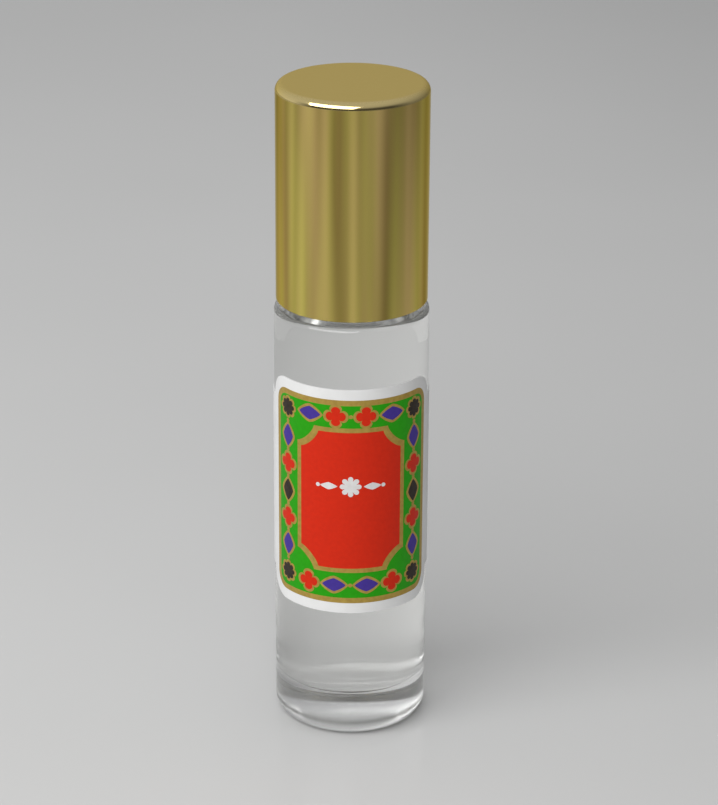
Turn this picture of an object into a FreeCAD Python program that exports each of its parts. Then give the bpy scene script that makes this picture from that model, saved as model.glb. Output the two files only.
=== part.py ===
import FreeCAD, Part
import math
import os

from FreeCAD import Vector

# Roll-on bottle for perfume oil: a clear glass vial with a snapped-in ball applicator,
# a screw cap with a gold metal shell, and a wrapped front label.
# Millimetres, +Z up, origin at the middle of the foot, label towards -Y.
# Across the axis, sizes run inwards from the glass: metal shell, screw cap, neck, plug, socket, ball.

# Glass bottle
BODY_RADIUS = 10.0
BODY_WALL = 2.0
BODY_HEIGHT = 57.8  # foot to the top of the shoulder
BASE_THICKNESS = 5.6
BASE_CROWN = 0.5  # the inner floor rises this much in the middle
FOOT_WIDTH = 0.9  # flat ring that the bottle stands on
PUSH_UP = 1.1  # hollow under the base
HEEL_RADIUS = 2.2
INNER_HEEL_RADIUS = 1.5
SHOULDER_RADIUS = 0.75
SHOULDER_THICKNESS = 1.8
INNER_SHOULDER_RADIUS = 2.2
NECK_WALL = 1.8
NECK_HEIGHT = 10.5
NECK_ROOT_RADIUS = 0.7
NECK_MOUTH_RADIUS = 0.9  # inside, where the shoulder runs into the bore
BRIM_RADIUS = 0.4

# Roller fitment
PLUG_WALL = 0.93  # at the brim, between the socket and the neck's bore
PLUG_DEPTH = 6.0
PLUG_LEAD = 0.6  # taper that starts the plug into the bore
PLUG_FIT = 0.02
SEAL_RIB_COUNT = 2
SEAL_RIB_HEIGHT = 0.2
SEAL_RIB_WIDTH = 0.9
FLANGE_THICKNESS = 1.0
FLANGE_SETBACK = 0.15  # the flange stops this far inside the neck's outer wall
FLANGE_ROUNDING = 0.35
COLLAR_WALL = 1.15  # beside the ball's middle
COLLAR_ROUNDING = 1.2
LIP_BITE = 0.36  # how far the lip closes over the ball
LIP_WALL = 0.75
LIP_ROUNDING = 0.3
SEAT_LEDGE = 1.35  # how far the seat reaches in below the ball
FEED_GROOVE_WIDTH = 0.9
FEED_GROOVE_DEPTH = 0.3

# Roller ball
BALL_PLAY = 0.08  # running clearance all round, in the socket
BALL_RISE = 2.1  # the ball's centre above the brim of the neck

# Perfume oil
FILL_HEADSPACE = 1.5  # between the oil and the foot of the plug
FILL_CLEARANCE = 0.05

# Front label
LABEL_WRAP_ANGLE = 151.0  # how far its printed panel goes round the glass, in degrees
LABEL_WING_ANGLE = 28.5  # how far the plain paper goes on at each side of the panel, in degrees
LABEL_HEIGHT = 31.25
LABEL_FOOT = 18.45  # lower edge above the table
LABEL_CORNER_RADIUS = 3.5
LABEL_THICKNESS = 0.1
ADHESIVE_THICKNESS = 0.02

# Seal pad
PAD_MARGIN = 0.45  # how much wider than the ball it is, all round
PAD_THICKNESS = 1.6
PAD_EDGE_RADIUS = 0.25
PAD_GAP = 0.12  # over the ball, with the cap screwed down
PAD_PLAY = 0.06  # up and down, in its pocket
PAD_CLEARANCE = 0.15  # around it
PAD_BITE = 0.25  # how far the bead below it reaches under the pad
PAD_BEAD_HEIGHT = 0.5

# Inner cap
THREAD_DEPTH = 0.75
THREAD_CLEARANCE = 0.2
LINER_WALL = 0.95
LINER_RECESS = 0.4  # its mouth, above the shell's lower edge
LINER_MOUTH_CHAMFER = 0.4
LINER_TOP_GAP = 0.1
LINER_ROUNDING = 0.25
WEB_THICKNESS = 1.2
RING_WALL = 0.95
RING_GAP = 0.15  # between the hanging ring and the collar's lip
GRIP_RIB_COUNT = 24
GRIP_RIB_HEIGHT = 0.32
GRIP_RIB_WIDTH = 0.9
GRIP_RIB_SETBACK = 0.8  # from each end of the wall that carries the ribs

# Cap shell
CAP_HEIGHT = 28.4
CAP_GAP = 0.8  # between the shoulder and the shell's lower edge
CAP_SETBACK = 0.25  # how far the shell stands inside the glass wall
SHELL_WALL = 0.4
SHELL_FIT = 0.03
SHELL_EDGE_RADIUS = 1.0
SHELL_HEM_RADIUS = 0.18

OVERRUN = 1.0  # how far a cutting tool runs past what it cuts
FILLET_LIMIT_SHARE = 0.48  # the most of a straight run that one rounded corner may use
HALF = 0.5
FULL_TURN = 360.0
UP = Vector(0, 0, 1)
AXIS_POINT = Vector(0, 0, 0)

# Across the axis
cavity_radius = BODY_RADIUS - BODY_WALL
shell_radius = BODY_RADIUS - CAP_SETBACK
shell_bore = shell_radius - SHELL_WALL
grip_radius = shell_bore - SHELL_FIT
liner_radius = grip_radius - GRIP_RIB_HEIGHT
liner_bore = liner_radius - LINER_WALL
thread_crest = liner_bore - THREAD_CLEARANCE
neck_radius = thread_crest - THREAD_DEPTH
neck_bore = neck_radius - NECK_WALL
plug_radius = neck_bore - PLUG_FIT
flange_radius = neck_radius - FLANGE_SETBACK
socket_at_brim = plug_radius - PLUG_WALL
socket_radius = math.sqrt(socket_at_brim**2 + BALL_RISE**2)
throat_radius = socket_at_brim - SEAT_LEDGE
collar_radius = socket_radius + COLLAR_WALL
ball_radius = socket_radius - BALL_PLAY
lip_opening = ball_radius - LIP_BITE
lip_radius = lip_opening + LIP_WALL
pad_radius = ball_radius + PAD_MARGIN
pocket_radius = pad_radius + PAD_CLEARANCE
bead_opening = pad_radius - PAD_BITE
ring_radius = pocket_radius + RING_WALL

# Up the axis
brim_height = BODY_HEIGHT + NECK_HEIGHT
plug_foot = brim_height - PLUG_DEPTH
flange_top = brim_height + FLANGE_THICKNESS
ball_height = brim_height + BALL_RISE
ball_top = ball_height + ball_radius
lip_height = ball_height + math.sqrt(socket_radius**2 - lip_opening**2)
seat_height = ball_height - math.sqrt(socket_radius**2 - throat_radius**2)
fill_level = plug_foot - FILL_HEADSPACE
pad_foot = ball_top + PAD_GAP
pad_top = pad_foot + PAD_THICKNESS
web_foot = pad_top + PAD_PLAY
web_top = web_foot + WEB_THICKNESS
bead_top = pad_foot - PAD_PLAY
bead_foot = bead_top - PAD_BEAD_HEIGHT
ring_foot = lip_height + RING_GAP
cap_foot = BODY_HEIGHT + CAP_GAP
cap_top = cap_foot + CAP_HEIGHT
liner_foot = cap_foot + LINER_RECESS
liner_top = cap_top - SHELL_WALL - LINER_TOP_GAP


def corner(radius, height, rounding=0.0, through=None):
    """One corner of a half section: its place, how far it is rounded, and a point that the run to the
    next corner bends through."""
    return {"at": Vector(radius, 0, height), "rounding": rounding, "through": through}


def rounded(before, here, after, rounding):
    """Where an arc at a corner leaves the first run, its middle, and where it joins the second run."""
    back = before - here
    ahead = after - here
    half_turn = HALF * (math.pi - back.getAngle(ahead))
    room = FILLET_LIMIT_SHARE * min(back.Length, ahead.Length)
    reach = min(rounding * math.tan(half_turn), room)
    radius = reach / math.tan(half_turn)
    back.normalize()
    ahead.normalize()
    inward = back + ahead
    inward.normalize()
    centre = here + inward * (radius / math.cos(half_turn))
    return here + back * reach, centre - inward * radius, here + ahead * reach


def lathe(corners):
    """The solid that a closed half section sweeps in one turn about the axis."""
    count = len(corners)
    edges = []
    starts, ends = [], []
    for index, this in enumerate(corners):
        here = this["at"]
        starts.append(here)
        ends.append(here)
        if this["rounding"] > 0:
            before = corners[index - 1]["at"]
            after = corners[(index + 1) % count]["at"]
            first, middle, last = rounded(before, here, after, this["rounding"])
            edges.append(Part.Arc(first, middle, last).toShape())
            ends[index], starts[index] = first, last
    for index, this in enumerate(corners):
        start, end = starts[index], ends[(index + 1) % count]
        if this["through"] is None:
            edges.append(Part.LineSegment(start, end).toShape())
        else:
            bend_radius, bend_height = this["through"]
            bend = Vector(bend_radius, 0, bend_height)
            edges.append(Part.Arc(start, bend, end).toShape())
    wire = Part.Wire(Part.__sortEdges__(edges))
    return Part.Face(wire).revolve(AXIS_POINT, UP, FULL_TURN)


def around(shape, count):
    """Copies of a shape, evenly spaced about the axis."""
    copies = []
    for index in range(count):
        copy = shape.copy()
        copy.rotate(AXIS_POINT, UP, FULL_TURN * index / count)
        copies.append(copy)
    return copies


def dome_bend(edge, rise):
    """A point half way out on a shallow dome, as its distance from the axis and its height over the edge."""
    half_way = HALF * edge
    sphere_radius = HALF * (edge**2 + rise**2) / rise
    return half_way, rise - sphere_radius + math.sqrt(sphere_radius**2 - half_way**2)


def cavity_corners(radius, floor, ceiling, mouth_radius):
    """The inside of the bottle as part of a half section, from the neck down to the middle of the floor."""
    floor_edge = radius - INNER_HEEL_RADIUS
    bend_radius, bend_rise = dome_bend(floor_edge, BASE_CROWN)
    return [
        corner(mouth_radius, ceiling, NECK_MOUTH_RADIUS),
        corner(radius, ceiling, INNER_SHOULDER_RADIUS),
        corner(radius, floor, INNER_HEEL_RADIUS),
        corner(floor_edge, floor, through=(bend_radius, floor + bend_rise)),
        corner(0, floor + BASE_CROWN),
    ]


def glass_bottle():
    """Vial with a heavy base, a hollow under the foot, square shoulders and a plain neck."""
    foot_inside = BODY_RADIUS - HEEL_RADIUS - FOOT_WIDTH
    ceiling = BODY_HEIGHT - SHOULDER_THICKNESS
    outside = [
        corner(0, PUSH_UP, through=dome_bend(foot_inside, PUSH_UP)),
        corner(foot_inside, 0),
        corner(BODY_RADIUS, 0, HEEL_RADIUS),
        corner(BODY_RADIUS, BODY_HEIGHT, SHOULDER_RADIUS),
        corner(neck_radius, BODY_HEIGHT, NECK_ROOT_RADIUS),
        corner(neck_radius, brim_height, BRIM_RADIUS),
        corner(neck_bore, brim_height, BRIM_RADIUS),
    ]
    return lathe(outside + cavity_corners(cavity_radius, BASE_THICKNESS, ceiling, neck_bore))


def perfume_oil():
    """The filling: the bottle's inside up to the fill level, with a flat surface."""
    neck = neck_bore - FILL_CLEARANCE
    radius = cavity_radius - FILL_CLEARANCE
    floor = BASE_THICKNESS + FILL_CLEARANCE
    ceiling = BODY_HEIGHT - SHOULDER_THICKNESS - FILL_CLEARANCE
    surface = [corner(0, fill_level), corner(neck, fill_level)]
    return lathe(surface + cavity_corners(radius, floor, ceiling, neck))


def front_label():
    """Paper wrapped on the glass: a front panel with rounded corners and a plain wing at each side."""
    inner = BODY_RADIUS + ADHESIVE_THICKNESS
    outer = inner + LABEL_THICKNESS
    half_angle = HALF * LABEL_WRAP_ANGLE
    corner_angle = half_angle - math.degrees(math.asin(LABEL_CORNER_RADIUS / outer))
    short_height = LABEL_HEIGHT - LABEL_CORNER_RADIUS - LABEL_CORNER_RADIUS

    def wrap(angle, foot, height):
        """Part of a thin tube, between two angles either side of the front."""
        tube = Part.makeCylinder(outer, height, Vector(0, 0, foot), UP, angle + angle)
        core = Part.makeCylinder(inner, height, Vector(0, 0, foot), UP)
        band = tube.cut(core)
        band.rotate(AXIS_POINT, UP, -FULL_TURN / 4 - angle)
        return band

    wide = wrap(half_angle + LABEL_WING_ANGLE, LABEL_FOOT + LABEL_CORNER_RADIUS, short_height)
    tall = wrap(corner_angle, LABEL_FOOT, LABEL_HEIGHT)
    paper = wrap(half_angle + corner_angle, LABEL_FOOT, LABEL_HEIGHT)
    rounds = []
    for side in (-1, 1):
        for foot in (LABEL_FOOT + LABEL_CORNER_RADIUS, LABEL_FOOT + LABEL_CORNER_RADIUS + short_height):
            turn = math.radians(side * corner_angle)
            outwards = Vector(math.sin(turn), -math.cos(turn), 0)
            stub = Part.makeCylinder(LABEL_CORNER_RADIUS, outer + OVERRUN, Vector(0, 0, foot), outwards)
            rounds.append(stub.common(paper))
    return wide.fuse([tall] + rounds).removeSplitter()


def roller_fitment():
    """Plastic plug with sealing ribs, a flange that rests on the brim, and a socket whose lip holds the ball."""
    wall_radius = plug_radius - SEAL_RIB_HEIGHT
    pitch = (PLUG_DEPTH - PLUG_LEAD) / (SEAL_RIB_COUNT + 1)
    outside = [
        corner(throat_radius, plug_foot),
        corner(wall_radius - PLUG_LEAD * HALF, plug_foot),
        corner(wall_radius, plug_foot + PLUG_LEAD),
    ]
    for index in range(SEAL_RIB_COUNT):
        middle = plug_foot + PLUG_LEAD + pitch * (index + 1)
        rib_foot = middle - HALF * SEAL_RIB_WIDTH
        rib_top = middle + HALF * SEAL_RIB_WIDTH
        outside += [
            corner(wall_radius, rib_foot, through=(plug_radius, middle)),
            corner(wall_radius, rib_top),
        ]
    outside += [
        corner(wall_radius, brim_height),
        corner(flange_radius, brim_height),
        corner(flange_radius, flange_top, FLANGE_ROUNDING),
        corner(collar_radius, flange_top, FLANGE_ROUNDING),
        corner(collar_radius, ball_height, COLLAR_ROUNDING),
        corner(lip_radius, lip_height, LIP_ROUNDING),
        corner(lip_opening, lip_height, through=(socket_radius, ball_height)),
        corner(throat_radius, seat_height),
    ]
    body = lathe(outside)
    reach = socket_radius + FEED_GROOVE_DEPTH
    groove_ball = Part.makeSphere(reach, Vector(0, 0, ball_height))
    blade = Part.makeBox(
        reach + reach,
        FEED_GROOVE_WIDTH,
        reach + FEED_GROOVE_DEPTH,
        Vector(-reach, -HALF * FEED_GROOVE_WIDTH, ball_height - reach),
    )
    crossed = blade.copy()
    crossed.rotate(AXIS_POINT, UP, FULL_TURN / 4)
    grooves = groove_ball.common(blade.fuse(crossed))
    return body.cut(grooves)


def roller_ball():
    """Polished steel ball."""
    return Part.makeSphere(ball_radius, Vector(0, 0, ball_height))


def seal_pad():
    """Soft disc that the closed cap holds down on the ball."""
    return lathe(
        [
            corner(0, pad_foot),
            corner(pad_radius, pad_foot, PAD_EDGE_RADIUS),
            corner(pad_radius, pad_top, PAD_EDGE_RADIUS),
            corner(0, pad_top),
        ]
    )


def inner_cap():
    """Moulded liner: a sleeve over the neck, a web with a ring that holds the pad, and grip ribs outside."""
    body = lathe(
        [
            corner(liner_bore + LINER_MOUTH_CHAMFER, liner_foot),
            corner(liner_radius, liner_foot, LINER_ROUNDING),
            corner(liner_radius, liner_top, LINER_ROUNDING),
            corner(liner_bore, liner_top, LINER_ROUNDING),
            corner(liner_bore, web_top, LINER_ROUNDING),
            corner(0, web_top),
            corner(0, web_foot),
            corner(pocket_radius, web_foot),
            corner(pocket_radius, bead_top),
            corner(bead_opening, bead_top - HALF * PAD_BEAD_HEIGHT),
            corner(pocket_radius, bead_foot),
            corner(pocket_radius, ring_foot, LINER_ROUNDING),
            corner(ring_radius, ring_foot, LINER_ROUNDING),
            corner(ring_radius, web_foot, LINER_ROUNDING),
            corner(liner_bore, web_foot, LINER_ROUNDING),
            corner(liner_bore, liner_foot + LINER_MOUTH_CHAMFER),
        ]
    )
    rib_foot = liner_foot + GRIP_RIB_SETBACK
    rib_height = liner_top - rib_foot - GRIP_RIB_SETBACK
    blade = Part.makeBox(
        LINER_WALL + GRIP_RIB_HEIGHT,
        GRIP_RIB_WIDTH,
        rib_height,
        Vector(liner_bore + HALF * LINER_WALL, -HALF * GRIP_RIB_WIDTH, rib_foot),
    )
    limit = Part.makeCylinder(grip_radius, rib_height, Vector(0, 0, rib_foot), UP)
    rib = blade.common(limit)
    return body.fuse(around(rib, GRIP_RIB_COUNT)).removeSplitter()


def cap_shell():
    """Drawn metal cup with a rounded top edge and a turned-in lower edge."""
    return lathe(
        [
            corner(shell_bore, cap_foot, SHELL_HEM_RADIUS),
            corner(shell_radius, cap_foot, SHELL_HEM_RADIUS),
            corner(shell_radius, cap_top, SHELL_EDGE_RADIUS),
            corner(0, cap_top),
            corner(0, cap_top - SHELL_WALL),
            corner(shell_bore, cap_top - SHELL_WALL, SHELL_EDGE_RADIUS - SHELL_WALL),
        ]
    )


NODES = {
    "glass_bottle": glass_bottle,
    "perfume_oil": perfume_oil,
    "front_label": front_label,
    "roller_fitment": roller_fitment,
    "roller_ball": roller_ball,
    "seal_pad": seal_pad,
    "inner_cap": inner_cap,
    "cap_shell": cap_shell,
}

os.makedirs("parts", exist_ok=True)
for name, make in NODES.items():
    solid = make()
    box = solid.BoundBox
    print(f"{name}: {len(solid.Solids)} solid, valid {solid.isValid()}, {solid.Volume:.1f} mm3,"
          f" z {box.ZMin:.2f} to {box.ZMax:.2f}")
    solid.exportStep(os.path.join("parts", name + ".step"))
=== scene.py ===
"""Glass roll-on bottle of perfume oil with a printed label and a gold screw cap."""

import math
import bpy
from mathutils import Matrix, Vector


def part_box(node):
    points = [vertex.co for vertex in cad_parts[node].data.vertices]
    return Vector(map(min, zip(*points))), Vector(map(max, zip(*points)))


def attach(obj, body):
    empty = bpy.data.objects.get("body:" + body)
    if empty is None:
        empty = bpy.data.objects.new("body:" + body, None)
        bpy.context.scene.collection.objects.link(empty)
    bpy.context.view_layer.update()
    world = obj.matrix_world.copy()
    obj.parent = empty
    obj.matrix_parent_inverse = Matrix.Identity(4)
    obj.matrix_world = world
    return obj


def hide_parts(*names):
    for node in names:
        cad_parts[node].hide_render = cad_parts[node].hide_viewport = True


bl_info = {
    "name": "Roll-on Bottle",
    "version": (1, 0, 0),
    "blender": (4, 5, 0),
    "location": "3D View > Sidebar > Roll-on",
    "description": "Models a glass roll-on bottle with its label, roller and gold cap on a plain stage",
    "category": "Add Mesh",
}

import bmesh
import bpy
from bpy.props import FloatProperty, FloatVectorProperty, IntProperty, PointerProperty
from mathutils import Matrix, Vector

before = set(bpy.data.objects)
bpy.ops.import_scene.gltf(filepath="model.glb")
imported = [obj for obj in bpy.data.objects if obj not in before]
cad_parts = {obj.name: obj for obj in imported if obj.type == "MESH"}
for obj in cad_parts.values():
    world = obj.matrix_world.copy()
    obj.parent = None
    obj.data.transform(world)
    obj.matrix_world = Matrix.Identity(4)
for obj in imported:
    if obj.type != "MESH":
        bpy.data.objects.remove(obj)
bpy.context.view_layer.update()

MM = 0.001
CENTRE = (0.0, 0.0, 0.0)
UP = (0.0, 0.0, 1.0)

# Distances within which vertices are merged, found again, or taken to lie on a wall
TOUCH = 0.0000005
SAME_SPOT = 10 * TOUCH
SAME_WALL = 20 * TOUCH

GLASS_IOR = 1.51
OIL_IOR = 1.5

# Steps in a rounded corner, and the shapes of a corner: a quarter circle, or one scooped out
FEWEST_STEPS = 8
MOST_STEPS = 14
STEPS_PER_MM = 6
ROUND = 0.5
SCOOPED = 0.15

# Cuts in the runs that carry the threads and the grip ribs
NECK_CUTS = 44
LINER_CUTS = 84
GRIP_CUTS = 40

GLASS_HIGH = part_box("glass_bottle")[1]
OIL_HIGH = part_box("perfume_oil")[1]
LABEL_LOW, LABEL_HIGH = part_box("front_label")
FITMENT_LOW, FITMENT_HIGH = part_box("roller_fitment")
BALL_LOW, BALL_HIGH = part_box("roller_ball")
PAD_LOW, PAD_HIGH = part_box("seal_pad")
LINER_LOW, LINER_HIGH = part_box("inner_cap")
SHELL_LOW, SHELL_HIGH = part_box("cap_shell")

BODY_RADIUS = GLASS_HIGH.x
BRIM_HEIGHT = GLASS_HIGH.z
SHELL_RADIUS = SHELL_HIGH.x
BALL_RADIUS = (BALL_HIGH.z - BALL_LOW.z) / 2
BALL_HEIGHT = (BALL_HIGH.z + BALL_LOW.z) / 2
LABEL_RADIUS = -LABEL_LOW.y
LABEL_REACH = LABEL_RADIUS * math.acos(-LABEL_HIGH.y / LABEL_RADIUS)
LABEL_MIDDLE = (LABEL_LOW.z + LABEL_HIGH.z) / 2

# Thread: distance under the brim; in turns, its fade at each end and how far the liner's thread lags behind
THREAD_DROP = 2.0 * MM
THREAD_FADE = 0.08
THREAD_LAG = 0.375

# Oil: gap to the glass, height and width of its curve at the glass, and the slope that ends its surface
OIL_GAP = 0.02 * MM
CREEP = 0.6 * MM
CREEP_SPREAD = 1.6
CREEP_STEPS = 8
SURFACE_SLOPE = 0.2

# Clear finishes: how much finer the grain is than the cloud
CLEAR_GRAIN = 6

# Dull glass, in shares of the shoulder's and the heel's rounding
SEAM_DROP, SEAM_FADE = 0.1, 0.2
HEEL_HEIGHT, HEEL_FADE = 0.6, 0.4

# Gold: noise over which a streak comes in, the streaks being partly the tube's own and partly painted
# reflections; where the satin comes in, in shares of the edge's rounding
STREAK_EDGES = (0.3, 0.68)
SATIN_COLOUR = (1.0, 0.8)
SATIN_GLOSS = (0.4, 0.02)

# Room that a feed groove leaves round the throat
GROOVE_END = 0.1 * MM

# Floor: painted shade greys it with the distance and towards the right, away from the lamp, up to a share
FLOOR_SIZE = 8.0
FLOOR_DROP = 0.03 * MM
FLOOR_FAR = (0.22, 0.95)
FLOOR_RIGHT = (-0.02, 0.4)
FLOOR_SHADE_SHARE = 0.8

# Sky: directions between which it goes from left to right, from low to overhead, and into the room
SKY_ACROSS = (-0.7, 0.7)
SKY_RISE = (0.0, 0.9)
ROOM_DEPTH = (0.1, -0.5)
ROOM_HEIGHT = (0.6, 0.25)

# Lamp and camera, with angles in degrees
LAMP_PLACE = (-0.335, -0.515, 0.562)
LAMP_AIM = (0.0, 0.0, 0.045)
LAMP_SIZE = (1.0, 0.5)
CAMERA_PLACE = (1.0075 * MM, -343.708 * MM, 184.099 * MM)
CAMERA_TILT = 67.814
CAMERA_ROLL = 0.342


def number(description, default, **more):
    """A number that a user may change."""
    return FloatProperty(description=description, default=default, **more)


def length(description, millimetres):
    """A size that a user may change."""
    return number(description, millimetres * MM, subtype="DISTANCE", unit="LENGTH", precision=5)


def count(description, default):
    """A whole number that a user may change."""
    return IntProperty(description=description, default=default)


def tint(description, default):
    """A colour that a user may change."""
    return FloatVectorProperty(description=description, default=default, subtype="COLOR", min=0.0, max=1.0)


class VialSettings(bpy.types.PropertyGroup):
    """Glass bottle and its filling."""

    body_height: length("Table to the top of the shoulder", 57.8)
    wall: length("Glass thickness of the body", 2.0)
    base: length("Glass thickness under the filling", 5.6)
    base_crown: length("Rise of the inner floor in the middle", 0.5)
    push_up: length("Hollow under the foot", 1.1)
    foot_width: length("Flat ring that stands on the table", 0.9)
    heel: length("Rounding at the foot", 2.2)
    inner_heel: length("Rounding inside the foot", 1.5)
    shoulder: length("Rounding of the shoulder", 0.75)
    shoulder_thickness: length("Glass over the inner ceiling", 1.8)
    inner_shoulder: length("Rounding inside the shoulder", 2.2)
    neck_radius: length("Outside of the neck between the threads", 7.1)
    neck_bore: length("Radius of the mouth", 5.3)
    neck_root: length("Rounding where the neck leaves the shoulder", 0.7)
    neck_mouth: length("Rounding where the bore opens into the body", 0.9)
    brim: length("Rounding of the brim", 0.4)
    thread_depth: length("Height of the thread on the neck", 0.75)
    thread_pitch: length("Rise of the thread in one turn", 3.0)
    thread_turns: number("Turns of the thread", 1.25)
    slices: count("Faces round the body", 160)
    seam_haze: number("Roughness of the glass over the shoulder", 0.15)
    heel_haze: number("Roughness of the glass at the foot", 0.2)
    glass: tint("Tint of the glass", (0.997, 0.998, 0.996))
    glass_deep: tint("Tint of the glass where it is streaked", (0.99, 0.993, 0.988))
    oil: tint("Tint of the perfume oil", (0.996, 0.995, 0.988))
    oil_deep: tint("Tint of the oil where it is streaked", (0.991, 0.99, 0.98))


class RollerSettings(bpy.types.PropertyGroup):
    """Roller fitment, ball and pad."""

    throat: length("Radius of the hole that feeds the ball", 3.0)
    plug_radius: length("Outside of the plug over its sealing ribs", 5.28)
    plug_lead: length("Height of the taper at the foot of the plug", 0.6)
    rib_height: length("How far a sealing rib stands out", 0.2)
    rib_width: length("Width of a sealing rib", 0.9)
    rib_count: count("Sealing ribs on the plug", 2)
    flange_top: length("Height of the flange's upper face", 69.3)
    flange_edge: length("Rounding of the flange", 0.35)
    collar_radius: length("Outside of the collar round the ball", 5.98)
    collar_edge: length("Rounding of the collar", 1.2)
    lip_opening: length("Radius of the opening that holds the ball", 4.39)
    lip_radius: length("Outside of the lip", 5.14)
    lip_edge: length("Rounding of the lip", 0.3)
    ball_play: length("Gap between the ball and its socket", 0.08)
    groove_width: length("Width of a feed groove in the socket", 0.9)
    groove_depth: length("Depth of a feed groove in the socket", 0.3)
    pad_edge: length("Rounding of the seal pad", 0.25)
    plastic: tint("Natural plastic of the fitment", (0.80, 0.81, 0.79))
    plastic_cloud: tint("Natural plastic where it is cloudy", (0.72, 0.735, 0.72))
    steel: tint("Polished steel of the ball", (0.72, 0.73, 0.74))
    steel_haze: tint("Steel where it is hazed", (0.62, 0.63, 0.65))
    pad: tint("Foam of the seal pad", (0.80, 0.79, 0.76))
    pad_cell: tint("Foam between its cells", (0.68, 0.67, 0.63))


class CapSettings(bpy.types.PropertyGroup):
    """Gold shell and the moulded liner in it."""

    shell_wall: length("Metal thickness of the shell", 0.4)
    shell_edge: length("Rounding of the top edge", 1.0)
    hem: length("Rounding of the lower edge", 0.18)
    liner_radius: length("Outside of the liner between its grip ribs", 9.0)
    liner_wall: length("Thickness of the liner", 0.95)
    liner_edge: length("Rounding of the liner", 0.25)
    mouth_chamfer: length("Lead-in at the mouth of the liner", 0.4)
    web: length("Thickness of the web over the pad", 1.2)
    ring_wall: length("Thickness of the ring that holds the pad", 0.95)
    ring_foot: length("Height of the ring's lower edge", 72.56)
    pad_room: length("Gap round the pad", 0.15)
    pad_play: length("Gap over the pad", 0.06)
    bead: length("Height of the bead that keeps the pad in", 0.5)
    bead_bite: length("How far the bead reaches under the pad", 0.25)
    thread_crest: length("Radius of the thread's crest in the liner", 7.35)
    grip_count: count("Ribs that hold the liner in the shell", 24)
    grip_width: length("Width of a grip rib", 0.9)
    grip_setback: length("Distance of the ribs from the liner's ends", 0.8)
    slices: count("Faces round the cap", 192)
    # The dark and bright streak golds are partly the tube's own tone and partly painted reflections.
    gold: tint("Gold in the bright streaks", (0.75, 0.63, 0.16))
    gold_rose: tint("Gold in the warm bright streaks", (0.74, 0.54, 0.20))
    olive: tint("Gold in the dark streaks", (0.29, 0.25, 0.05))
    olive_rose: tint("Gold in the warm dark streaks", (0.31, 0.21, 0.065))
    satin: tint("Gold of the satin top and rim", (0.78, 0.63, 0.29))
    sheen: tint("Tint of the gold at a glancing view", (0.9, 0.78, 0.42))
    liner: tint("Moulded plastic of the liner", (0.80, 0.80, 0.78))
    liner_flow: tint("Plastic in the flow marks", (0.74, 0.74, 0.72))


class LabelSettings(bpy.types.PropertyGroup):
    """Paper label and its print."""

    thickness: length("Paper with its adhesive, pressed on the glass", 0.13)
    panel_reach: length("From the middle of the front to the printed panel's side", 13.335)
    corner: length("Rounding of the paper's corners", 3.5)
    margin_end: length("White paper over and under the frame line", 1.43)
    margin_side: length("White paper beside the frame line", 1.415)
    frame_corner: length("Rounding of the frame line", 2.2)
    frame_line: length("Width of the gold frame line", 0.75)
    panel_width: length("Width of the red panel", 13.7)
    panel_height: length("Height of the red panel", 19.0)
    panel_centre: length("Height of the panel's middle over the table", 34.35)
    panel_scoop: length("Size of the scooped corners", 2.6)
    outline: length("Width of the gold line round the panel", 0.62)
    motif_line: length("Width of the gold line round a motif", 0.36)
    film: length("Thickness of one coat of ink", 0.015)
    column: length("Width of the strips that follow the curve", 0.5)
    paper: tint("White paper", (0.80, 0.80, 0.795))
    paper_fibre: tint("Paper between its fibres", (0.745, 0.745, 0.735))
    # The back's paler colour than the front paper is painted light, standing in for light shining through
    # the paper.
    back: tint("Gummed back of the paper, seen through the glass", (0.93, 0.93, 0.925))
    back_gum: tint("Back of the paper where the gum is thick", (0.90, 0.90, 0.89))
    gold: tint("Gold ink", (0.47, 0.33, 0.075))
    gold_thin: tint("Gold ink where it is thin", (0.38, 0.25, 0.055))
    green: tint("Green ink", (0.020, 0.34, 0.003))
    green_thin: tint("Green ink where it is thin", (0.018, 0.305, 0.002))
    red: tint("Red ink", (0.64, 0.022, 0.004))
    red_thin: tint("Red ink where it is thin", (0.59, 0.020, 0.004))
    violet: tint("Violet ink", (0.06, 0.034, 0.29))
    violet_thin: tint("Violet ink where it is thin", (0.054, 0.03, 0.26))
    dark: tint("Dark brown ink", (0.022, 0.016, 0.012))
    dark_thin: tint("Dark ink where it is thin", (0.04, 0.03, 0.02))
    white: tint("White ink", (0.74, 0.735, 0.725))
    white_thin: tint("White ink where it is thin", (0.68, 0.66, 0.65))


class StageSettings(bpy.types.PropertyGroup):
    """Floor, lamp, sky and camera."""

    floor: tint("Colour of the floor", (0.585, 0.585, 0.58))
    floor_cloud: tint("Colour of the floor's paler patches", (0.63, 0.63, 0.625))
    # Painted shade: the floor greys to this colour far from the object and towards the right.
    floor_painted_shade: tint("Colour of the floor far from the object", (0.34, 0.34, 0.34))
    horizon: tint("Light from low down on the left", (0.66, 0.66, 0.66))
    shade: tint("Light from low down on the right", (0.20, 0.20, 0.20))
    zenith: tint("Light from overhead", (0.50, 0.503, 0.508))
    room: tint("The dim room behind the camera", (0.07, 0.07, 0.07))
    key_power: number("Power of the key lamp", 6.8, unit="POWER")
    lens: number("Focal length of the camera", 127.64, subtype="DISTANCE_CAMERA")


def begin(name):
    """Starts a piece as one vertex at the origin, in edit mode."""
    bpy.ops.object.select_all(action="DESELECT")
    bpy.ops.mesh.primitive_plane_add(size=MM)
    piece = bpy.context.active_object
    piece.name = name
    piece.data.name = name
    bpy.ops.object.mode_set(mode="EDIT")
    bpy.ops.mesh.select_all(action="SELECT")
    bpy.ops.mesh.merge(type="CENTER")
    return piece


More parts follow.
